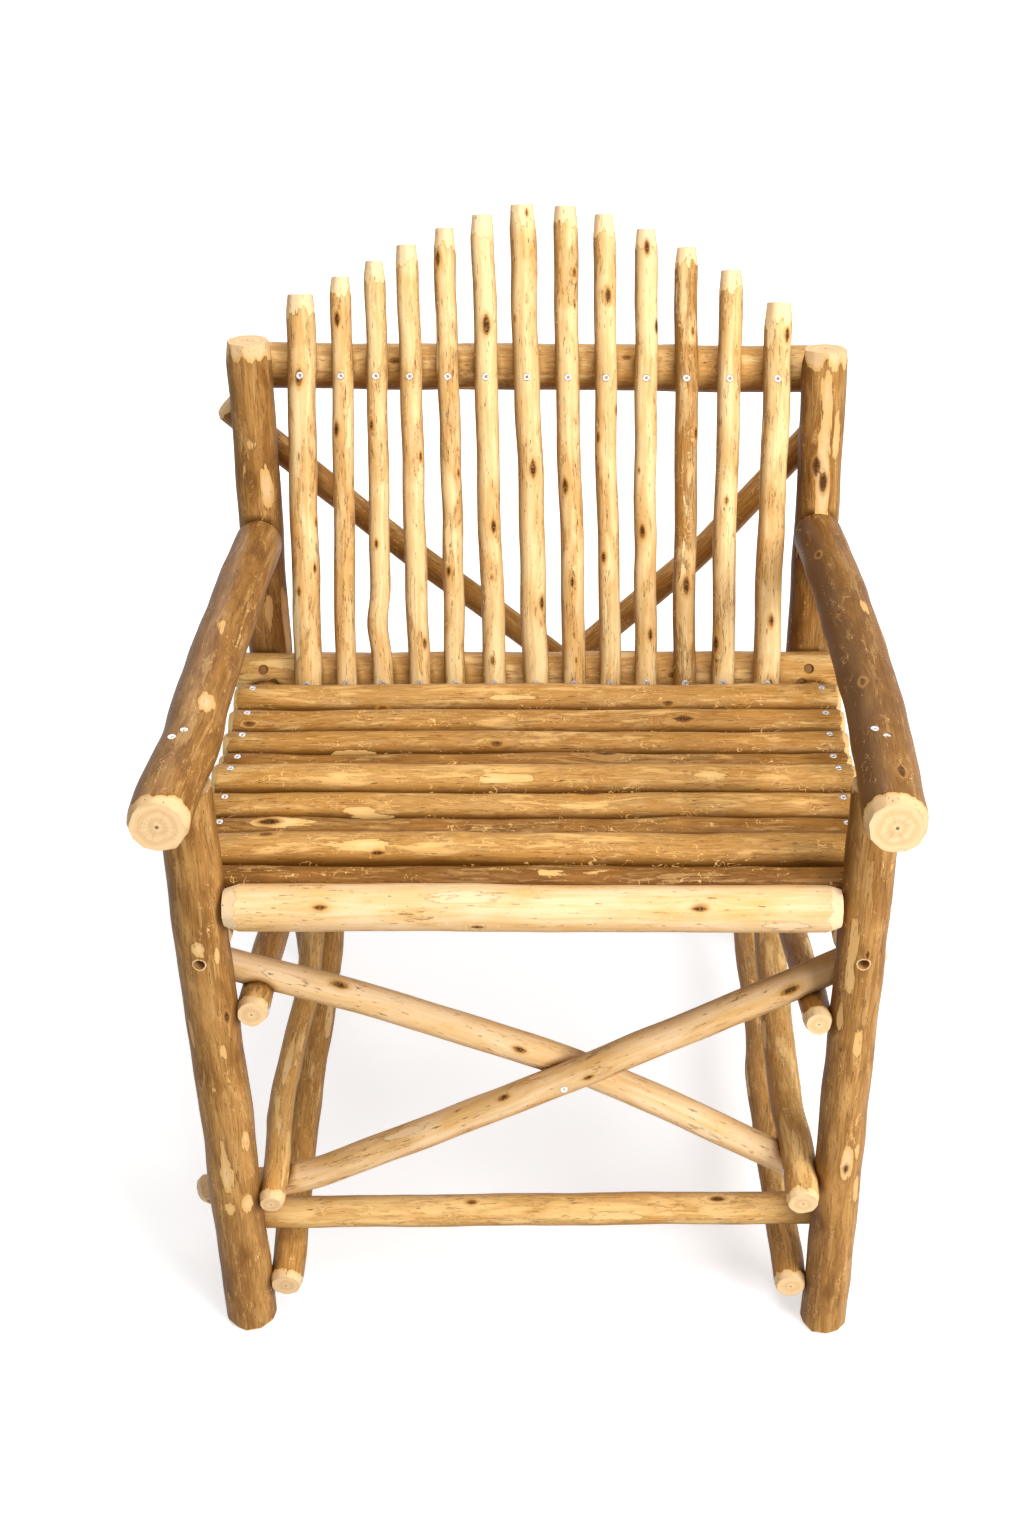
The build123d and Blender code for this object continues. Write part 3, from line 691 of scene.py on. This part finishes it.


# Each finish: the values of its wood, its relief in millimetres and its gloss.
# the side-shade strength and the facing where it is full set the painted shade round the sides;
# the deep brown is the colour of that painted shade and of the painted shade where poles touch,
# and also of dark poles and the rings round knots
POLE_FINISHES = {
    "weathered_pole": ({
        "Fresh": rgb(238, 200, 150), "Pale": rgb(228, 181, 114), "Golden": rgb(202, 150, 84),
        "Bark": rgb(166, 116, 58), "Dark": rgb(98, 61, 25), "Deep brown and shade": rgb(96, 60, 22),
        "Cover": 0.97, "Edge": 0.03, "Outline": 0.3, "Sides": 0.95, "Turn": -0.15,
        "Chips": 0.665, "Curls": 0.5, "Streaks": 0.6}, 0.7, 0.1),
    "brown_pole": ({
        "Fresh": rgb(248, 213, 162), "Pale": rgb(246, 204, 136), "Golden": rgb(224, 168, 92),
        "Bark": rgb(182, 128, 60), "Dark": rgb(112, 70, 26), "Deep brown and shade": rgb(128, 82, 28),
        "Cover": 0.58, "Edge": 0.07, "Outline": 0.4, "Sides": 0.75, "Turn": -0.05,
        "Chips": 0.66, "Curls": 0.5, "Streaks": 0.6}, 0.6, 0.14),
    "seat_pole": ({
        "Fresh": rgb(248, 208, 142), "Pale": rgb(240, 192, 120), "Golden": rgb(202, 146, 72),
        "Bark": rgb(168, 112, 46), "Dark": rgb(84, 48, 14), "Deep brown and shade": rgb(104, 62, 14),
        "Cover": 0.64, "Edge": 0.09, "Outline": 0.4, "Sides": 1.25, "Turn": 0.35,
        "Chips": 0.69, "Curls": 0.9, "Streaks": 0.55}, 0.6, 0.14),
    "peeled_stick": ({
        "Fresh": rgb(250, 217, 170), "Pale": rgb(252, 221, 162), "Golden": rgb(226, 170, 96),
        "Bark": rgb(190, 134, 62), "Dark": rgb(96, 56, 20), "Deep brown and shade": rgb(146, 96, 38),
        "Cover": 0.32, "Edge": 0.07, "Outline": 0.8, "Sides": 0.95, "Turn": -0.1,
        "Chips": 0.69, "Curls": 0.5, "Streaks": 0.5}, 0.5, 0.16),
    "pale_pole": ({
        "Fresh": rgb(250, 219, 174), "Pale": rgb(250, 215, 168), "Golden": rgb(234, 184, 112),
        "Bark": rgb(204, 150, 78), "Dark": rgb(104, 62, 24), "Deep brown and shade": rgb(162, 110, 48),
        "Cover": 0.2, "Edge": 0.07, "Outline": 0.8, "Sides": 0.55, "Turn": -0.05,
        "Chips": 0.72, "Curls": 0.5, "Streaks": 0.45}, 0.4, 0.16),
}
CUT_FINISHES = {
    "sawn end grain": ({
        "Pale": rgb(246, 210, 160), "Ring": rgb(226, 180, 122), "Dark": rgb(112, 76, 42),
        "Cracks": 0.35}, 0.3, 0.15),
    "drilled wood": ({
        "Pale": rgb(196, 150, 92), "Ring": rgb(160, 112, 62), "Dark": rgb(112, 76, 42),
        "Cracks": 0.5}, 0.3, 0.2),
    "plug wood": ({
        "Pale": rgb(176, 128, 74), "Ring": rgb(112, 72, 38), "Dark": rgb(60, 36, 20),
        "Cracks": 0.5}, 0.3, 0.2),
}
PEELED = peeled_wood_group(POLE_FINISHES["weathered_pole"][0])
SAWN = sawn_end_group(CUT_FINISHES["sawn end grain"][0])
ROUND_FACES = {name: wood_material(name.replace("_", " "), PEELED, *finish)
               for name, finish in POLE_FINISHES.items()}
END_GRAIN, DRILLED_WOOD, PLUG_WOOD = [wood_material(name, SAWN, *finish)
                                      for name, finish in CUT_FINISHES.items()]
ZINC = zinc_material()


# ---- the poles ----
POST_MARKS = {
    "left": {"knots": ((396, 43, 2.6),), "shaves": (
        (222, -5, 34, 1.1), (242, 49, 14, 0.7), (172, 39, 12, 0.8), (170, -3, 7, 0.5),
        (21, 11, 14, 0.35), (357, 24, 10, 0.4), (474, 4, 6, 0.5), (462, 43, 12, 0.45))},
    "right": {"knots": ((469, 7, 1.6), (222, 9, 2.2)), "shaves": (
        (229, 12, 22, 0.9), (376, 8, 30, 0.8), (398, -40, 16, 0.5), (345, 40, 12, 0.5))},
}
BACK_POST_MARKS = {
    "left": {"shaves": ((552, -3, 14, 0.8), (540, -28, 30, 0.6), (510, 30, 25, 0.6))},
    "right": {"knots": ((511, 5, 3.8),), "shaves": ((499, 5, 46, 0.8), (545, 3, 60, 0.3))},
}
ARM_MARKS = {
    "left": {"tone": 0.30, "bends": ((135, 45, 4),), "shaves": (
        (186, -20, 9, 0.5), (161, 25, 16, 0.6), (300, 10, 14, 0.4))},
    # the right arm's low tone darkens it all over: partly its own darker colour, partly painted
    # shade for its shaded inner side
    "right": {"tone": 0.1, "knots": ((452, -37, 2.6), (192, -26, 2.8)), "shaves": (
        (330, 20, 14, 0.4),)},
}
SIDE_RAIL_TONES = {"upper": 0.35, "middle": 0.6, "lower": 0.4}
SLAT_TONES = (0.66, 0.5, 0.5, 0.25, 0.75, 0.62, 0.25, 0.66, 0.1)
SLAT_KNOTS = {1: ((146, 66, 2.4), (421, 53, 2.4)), 2: ((21, 44, 2.6),), 3: ((258, 44, 2.6),),
              8: ((162, 49, 2.2),)}
# Each stick: its tone and the knots on its face.
STICKS = (
    (0.45, ((327, -4, 3.4), (187, 65, 2.0), (119, -23, 1.8))),
    (0.45, ((383, -14, 2.8), (277, -30, 2.8))),
    (0.55, ((281, -27, 2.2),)),
    (0.55, ((250, 44, 2.0), (66, 35, 2.2))),
    (0.42, ((438, -35, 2.8), (234, 49, 1.8), (138, -18, 2.2))),
    (0.6, ((376, 7, 3.6), (182, 25, 2.6), (49, -4, 2.0))),
    (0.6, ((480, 25, 1.6), (238, 12, 3.2), (106, 43, 2.6))),
    (0.45, ((424, 40, 2.2), (221, -21, 2.8), (127, -1, 2.0))),
    (0.45, ((402, 14, 2.8), (294, 65, 2.0), (268, -42, 2.2), (151, -28, 2.2))),
    (0.7, ((447, 3, 2.6), (373, 56, 2.4), (176, -17, 2.8), (74, 20, 2.4))),
    (0.1, ((271, 51, 2.6), (123, 7, 3.4))),
    (0.5, ((206, -2, 1.6), (64, -44, 3.2))),
    (0.5, ((364, 34, 2.6), (88, 8, 2.4), (25, 14, 2.2))),
)
STICK_BENDS = {3: ((85, 24, -4.5),)}
poles = {}


def make(node, seed, finish, **settings):
    poles[node] = Pole(node, seed, finish, **settings)


for side, seed in (("left", 40), ("right", 60)):
    make(f"front_post_{side}", seed + 1, "weathered_pole", around=52, end=PLAIN,
         random_knots=1, random_shaves=9, **POST_MARKS[side])
    make(f"back_post_{side}", seed + 2, "weathered_pole", around=48, end=(19, 2.6, 10),
         random_knots=1, random_shaves=7, tone=0.42, **BACK_POST_MARKS[side])
    make(f"rear_leg_{side}", seed + 3, "brown_pole", around=40, margins=(8, 30), tone=0.3)
    make(f"arm_{side}", seed + 4, "weathered_pole", around=52, margins=(8, 40),
         start=(13, 3.6, 12), end=(4.5, 1.5, 14), random_knots=1, random_shaves=2, lean=36,
         **ARM_MARKS[side])
    make(f"seat_bearer_{side}", seed + 5, "brown_pole", around=32, margins=(30, 30),
         start=PLAIN, end=PLAIN, random_shaves=2)
    for k, (kind, tone) in enumerate(SIDE_RAIL_TONES.items()):
        make(f"side_{kind}_rail_{side}", seed + 6 + k, "brown_pole", start=SHAVED, tone=tone)
make("seat_front_rail", 90, "pale_pole", around=48, start=(12, 4.2, 12), end=(12, 4.2, 12),
     knots=((83, 54, 2.4), (397, 51, 2.6), (213, 104, 2.2)), random_knots=0, tone=0.6, lean=50)
make("seat_rear_rail", 91, "brown_pole", around=40, tone=0.6, lean=45)
make("back_top_rail", 92, "brown_pole", around=44, knots=((160, 54, 3.0), (387, 44, 2.4)),
     tone=0.68, lean=45)
make("front_stretcher", 93, "brown_pole", knots=((225, 16, 2.2), (461, 7, 2.8)),
     random_knots=0, shaves=((461, 7, 20, 0.6),), tone=0.85, lean=45)
make("front_brace_rising", 94, "pale_pole", random_knots=0, tone=0.4, lean=45,
     knots=((324, 36, 2.6), (407, 81, 2.2), (607, 66, 3.4)))
make("front_brace_falling", 95, "pale_pole", random_knots=0, tone=0.65, lean=45,
     knots=((118, 27, 3.2), (294, 62, 2.6)))
for k, name in enumerate(("back_brace_a", "back_brace_b")):
    make(name, 96 + k, "brown_pole", tone=0.4)
for number, tone in enumerate(SLAT_TONES, 1):
    make(f"seat_slat_{number}", 110 + number, "seat_pole", knots=SLAT_KNOTS.get(number, ()),
         random_knots=1, random_shaves=6, shave=(10, 34, 0.2, 0.5), wander=(1.0, 1.1),
         girth=0.018, tone=tone, lean=14)
for number, (tone, knots) in enumerate(STICKS, 1):
    make(f"back_stick_{number:02d}", 130 + number, "peeled_stick", around=32,
         margins=(6, 30), end=(22, 2.5, 9), knots=knots, knot_size=(1.2, 1.9),
         shave=(10, 40, 0.15, 0.4), bends=STICK_BENDS.get(number, ()), wander=(0.5, 1.0),
         girth=0.013, tone=tone)


# ---- screws and plugs ----
HEAD_RADIUS, HEAD_HEIGHT, HEAD_EDGE = 3.5 * MM, 1.8 * MM, 0.25 * MM
SHANK_RADIUS, TIP_LENGTH, TIP_RADIUS = 1.8 * MM, 5 * MM, 0.1 * MM
RECESS_RADIUS, RECESS_HALF_WIDTH, RECESS_DEPTH = 2.2 * MM, 0.62 * MM, 1.5 * MM
RECESS_TAPER = 2.4 * MM  # the radius at which the recess would run out
ROUND_IN, ROUND_DOWN = 0.1 * MM, 0.12 * MM  # at the edge of the head
SUNK_DEPTH, SUNK_BORE = 9 * MM, 5.0 * MM  # the frame's screws lie deep in wide bores
FLUSH_DEPTH, FLUSH_BORE = 0.3 * MM, 3.75 * MM
PLUG_RADIUS, PLUG_BEVEL = 4.7 * MM, 0.6 * MM
PLUG_RINGS = 4.9  # radius in millimetres that a plug's rings fill
SHARP = 0.6  # radians past which an edge is a corner
bores = {}  # pole -> (place, way out, radius, whether its rim is pale)


def islands(node):
    """The separate solids of a fastener node, as arrays of points."""
    bm = bmesh.new()
    bm.from_mesh(nodes[node].data)
    bmesh.ops.remove_doubles(bm, verts=bm.verts, dist=0.01 * MM)
    left, found = set(bm.verts), []
    while left:
        reached, group = [left.pop()], []
        while reached:
            vert = reached.pop()
            group.append(tuple(vert.co))
            for edge in vert.link_edges:
                other = edge.other_vert(vert)
                if other in left:
                    left.remove(other)
                    reached.append(other)
        found.append(np.array(group))
    bm.free()
    return sorted(found, key=lambda points: tuple(points.mean(0).round(4)))


def head_of(points):
    """Middle of a screw's head and the way it faces."""
    centre = points.mean(0)
    away = points - centre
    along = np.linalg.svd(away, full_matrices=False)[2][0]
    t = away @ along
    wide = [np.linalg.norm(away[at] - np.outer(t[at], along), axis=1).max()
            for at in (t < t.min() + 0.2 * MM, t > t.max() - 0.2 * MM)]
    out = along if wide[1] > wide[0] else -along
    return centre + out * (away @ out).max(), out


def host_of(head, out, sunk):
    """The pole that a head lies in, and the head's place on it."""
    best = None
    for pole in poles.values():
        axis = pole.axis
        away = head - axis.origin
        t = away @ axis.along
        if not axis.low - 4 * MM < t < axis.high + 4 * MM:
            continue
        x, y, radius = [float(v[0]) for v in axis.centre(np.array([t]))]
        u, v = away @ axis.up - x, away @ axis.side - y
        miss = abs(math.hypot(u, v) + sunk - radius)
        radial = unit(axis.up * u + axis.side * v)
        if radial @ out > 0.5 and (best is None or miss < best[0]):
            best = (miss, pole, math.atan2(v, u), t)
    return best[1:]


def screw_shape(bm, head, out, length, turn):
    """A countersunk screw with a cross recess, added to bm."""
    made = bmesh.ops.create_circle(bm, cap_ends=True, segments=32, radius=HEAD_RADIUS)
    face = made["verts"][0].link_faces[0]
    if face.normal.z < 0:
        face.normal_flip()
    verts, edges = list(made["verts"]), list(face.edges)
    for thickness in (0.18, 0.45, 0.45, 0.45, 0.45, 0.45, 0.45):
        ring = bmesh.ops.inset_individual(bm, faces=[face], thickness=thickness * MM)
        verts += [v for f in ring["faces"] for v in f.verts]
    verts += list(bmesh.ops.poke(bm, faces=[face])["verts"])
    for radius, depth in ((HEAD_RADIUS, HEAD_EDGE), (SHANK_RADIUS, HEAD_HEIGHT),
                          (SHANK_RADIUS * 0.9, length - TIP_LENGTH), (TIP_RADIUS, length)):
        grown = bmesh.ops.extrude_edge_only(bm, edges=edges)["geom"]
        edges = [g for g in grown if isinstance(g, bmesh.types.BMEdge)]
        ring = [g for g in grown if isinstance(g, bmesh.types.BMVert)]
        for v in ring:
            flat = Vector((v.co.x, v.co.y, 0)).normalized() * radius
            v.co = Vector((flat.x, flat.y, -depth))
        verts += ring
    bmesh.ops.contextual_create(bm, geom=edges)
    verts = list(dict.fromkeys(v for v in verts if v.is_valid))
    for v in verts:
        r = math.hypot(v.co.x, v.co.y)
        if v.co.z > -0.01 * MM and r < RECESS_RADIUS:
            if min(abs(v.co.x), abs(v.co.y)) < RECESS_HALF_WIDTH:
                v.co.z = -RECESS_DEPTH * (1 - r / RECESS_TAPER)
        elif v.co.z > -0.01 * MM and r > HEAD_RADIUS - ROUND_IN:
            v.co.z -= ROUND_DOWN
    facing = turned_to(out, head) @ Euler((0, 0, turn)).to_matrix().to_4x4()
    bmesh.ops.transform(bm, matrix=facing, verts=verts)


def finish_fasteners(bm, name, material, replaced):
    bmesh.ops.recalc_face_normals(bm, faces=bm.faces)
    for face in bm.faces:
        face.smooth = True
    for edge in bm.edges:
        if len(edge.link_faces) == 2 and edge.calc_face_angle() > SHARP:
            edge.smooth = False
    piece = show(name, to_mesh(bm, name, [material]))
    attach(piece, "root")
    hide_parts(replaced)
    return piece


def set_screws(node):
    """Seat every screw of a node in the worked face of its pole."""
    sunk = node == "frame_screws"
    rng = np.random.RandomState(len(node) * 7)
    bm = bmesh.new()
    for points in islands(node):
        head, out = head_of(points)
        length = ((points - head) @ -out).max()
        pole, theta, t = host_of(head, out, SUNK_DEPTH if sunk else FLUSH_DEPTH)
        if not sunk:
            t = np.array([t])
            worked = pole.shaped(np.array([theta]), t)[3]
            head = head + out * float(worked[0] - pole.axis.centre(t)[2][0])
        pale_rim = sunk and pole.node != "seat_rear_rail"
        hole = (head, out, SUNK_BORE if sunk else FLUSH_BORE, pale_rim)
        bores.setdefault(pole.node, []).append(hole)
        screw_shape(bm, head, out, length, rng.uniform(0, 1.57))
    finish_fasteners(bm, "heads_" + node, ZINC, node)


def set_plugs(node):
    """Turned plugs over the sunk screws of the rear rail."""
    bm, solids = bmesh.new(), islands(node)
    for points in solids:
        centre = points.mean(0)
        out = np.linalg.svd(points - centre, full_matrices=False)[2][2]
        out = out if out @ FRONT > 0 else -out
        half = ((points - centre) @ out).max()
        made = bmesh.ops.create_cone(bm, cap_ends=True, segments=32, radius1=PLUG_RADIUS,
                                     radius2=PLUG_RADIUS, depth=2 * half)
        edges = dict.fromkeys(e for v in made["verts"] for e in v.link_edges
                              if all(w.co.z > 0 for w in e.verts))
        bevelled = bmesh.ops.bevel(bm, geom=list(edges), offset=PLUG_BEVEL, segments=2,
                                   profile=0.5, affect="EDGES", material=-1)
        verts = [v for v in {*made["verts"], *bevelled["verts"]} if v.is_valid]
        bmesh.ops.transform(bm, matrix=turned_to(out, centre), verts=verts)
    piece = finish_fasteners(bm, "ends_" + node, PLUG_WOOD, node)
    centres = np.array([points.mean(0) for points in solids])
    away = read(piece.data)[:, None] - centres
    plug = np.linalg.norm(away, axis=2).argmin(1)
    away = away[np.arange(len(plug)), plug]
    share = np.linalg.norm(away, axis=1) / (PLUG_RINGS * MM)
    write(piece.data, "grain", away[:, 0], away @ UP, 0.0)
    write(piece.data, "turn", share, plug * 1.7, PLUG_RINGS)


for node in ("arm_screws", "brace_screws", "frame_screws", "seat_slat_screws",
             "side_rail_screws", "stick_lower_screws", "stick_upper_screws", "toe_screws"):
    set_screws(node)
set_plugs("seat_rail_plugs")


# ---- bores and the saddles of the arms ----
SADDLE_GAP = 0.4 * MM
BORE_LENGTH, BORE_MIDDLE = 15.2, 7  # millimetres, from the head of the screw
TOOL_MATERIALS = (END_GRAIN, END_GRAIN, DRILLED_WOOD)


def carve(piece, cutter):
    """Take the cutter's shape out of a piece."""
    tool = piece.modifiers.new("carve", "BOOLEAN")
    tool.operation, tool.solver, tool.object = "DIFFERENCE", "EXACT", cutter
    graph = bpy.context.evaluated_depsgraph_get()
    carved = bpy.data.meshes.new_from_object(piece.evaluated_get(graph))
    piece.modifiers.clear()
    whole, piece.data = piece.data, carved
    bpy.data.meshes.remove(whole)
    mesh = cutter.data
    bpy.data.objects.remove(cutter)
    bpy.data.meshes.remove(mesh)


def bore_tool(holes):
    """One cutter for all the bores of a pole."""
    bm = bmesh.new()
    for head, out, radius, _ in holes:
        bmesh.ops.create_cone(bm, cap_ends=True, segments=28, radius1=radius, radius2=radius,
                              depth=BORE_LENGTH * MM,
                              matrix=turned_to(out, head + out * BORE_MIDDLE * MM))
    for face in bm.faces:
        face.material_index = BORED
    return show("bores", to_mesh(bm, "bores", TOOL_MATERIALS))


for node, pole in poles.items():
    piece = pole.build((ROUND_FACES[pole.finish], END_GRAIN, DRILLED_WOOD))
    if node.startswith("arm_"):
        saddle = poles[node.replace("arm", "back_post")].build(TOOL_MATERIALS, SADDLE_GAP)
        for face in saddle.data.polygons:
            face.material_index = BORED
        carve(piece, saddle)
    if node in bores:
        carve(piece, bore_tool(bores[node]))
    pole.mark(piece.data)
    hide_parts(node)
    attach(piece, "root")


# ---- floor, light and camera ----
SHEET_COLOUR = (0.75, 0.75, 0.76, 1)
SHEET_GLOW = (0.7, 2.0, 0.55, 1.0)  # two distances and its strength at each
ROOM_LIGHT = 0.27
LAMPS = (  # name, place, where it points, size and watts
    ("softbox right", (1.9, -2.0, 1.7), (0, 0, 0.45), 1.4, 71),
    ("softbox above", (0.3, -0.7, 2.8), (0, 0, 0.4), 1.4, 38),
    ("softbox behind", (-0.4, 2.3, 1.5), (0, 0.1, 0.45), 1.6, 20),
)
CAMERA_LENS = 45
CAMERA_FROM_POSTS = (37.4 * MM, -1287.0 * MM)  # from between the front posts
CAMERA_HEIGHT = 1481.3 * MM
CAMERA_DOWN, CAMERA_LEFT, CAMERA_ROLL = 33.1073, 2.2362, -1.2214


def seen_directly(n):
    """1 for what the camera sees, also in a mirror or through glass."""
    path = n.add("ShaderNodeLightPath").outputs
    return n.either(path["Is Camera Ray"],
                    n.either(path["Is Glossy Ray"], path["Is Transmission Ray"]))


def floor():
    """A white sheet with soft shadows near the chair, plain white further off."""
    bm = bmesh.new()
    bmesh.ops.create_grid(bm, x_segments=1, y_segments=1, size=6)
    material, n, shader = new_material("white sheet")
    shader.inputs["Base Color"].default_value = SHEET_COLOUR
    shader.inputs["Roughness"].default_value = 0.9
    shader.inputs["Specular IOR Level"].default_value = 0.1
    shader.inputs["Emission Color"].default_value = (1, 1, 1, 1)
    distance = n.add("ShaderNodeVectorMath", operation="LENGTH")
    n.join(n.add("ShaderNodeTexCoord").outputs["Object"], distance.inputs[0])
    glow = n.between(distance.outputs["Value"], *SHEET_GLOW)
    n.join(n.times(seen_directly(n), glow), shader.inputs["Emission Strength"])
    sheet = show("floor", to_mesh(bm, "floor", [material]))


def world():
    made = bpy.data.worlds.new("studio")
    bpy.context.scene.world = made
    made.use_nodes = True
    n = Nodes(made.node_tree)
    light = made.node_tree.nodes["Background"]
    light.inputs["Color"].default_value = (1, 1, 1, 1)
    n.join(n.between(seen_directly(n), 0.0, 1.0, ROOM_LIGHT, 1.0), light.inputs["Strength"])


def lamp(name, place, target, size, power):
    data = bpy.data.lights.new(name, "AREA")
    data.size, data.energy = size, power
    made = show(name, data)
    made.location = place
    made.rotation_euler = (Vector(target) - Vector(place)).to_track_quat("-Z", "Y").to_euler()


def camera():
    corners = [c for side in ("left", "right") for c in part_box("front_post_" + side)]
    middle = sum(corners, Vector((0, 0, 0))) / len(corners)
    data = bpy.data.cameras.new("camera")
    data.lens, data.sensor_width, data.sensor_fit = CAMERA_LENS, 36, "AUTO"
    made = show("camera", data)
    turn = (Euler((0, 0, math.radians(CAMERA_LEFT))).to_matrix()
            @ Euler((math.radians(90 - CAMERA_DOWN), 0, 0)).to_matrix()
            @ Euler((0, 0, math.radians(CAMERA_ROLL))).to_matrix())
    made.rotation_euler = turn.to_euler()
    made.location = (middle.x + CAMERA_FROM_POSTS[0], middle.y + CAMERA_FROM_POSTS[1],
                     CAMERA_HEIGHT)
    bpy.context.scene.camera = made


floor()
world()
for row in LAMPS:
    lamp(*row)
camera()
bpy.context.scene.view_settings.view_transform = "Standard"
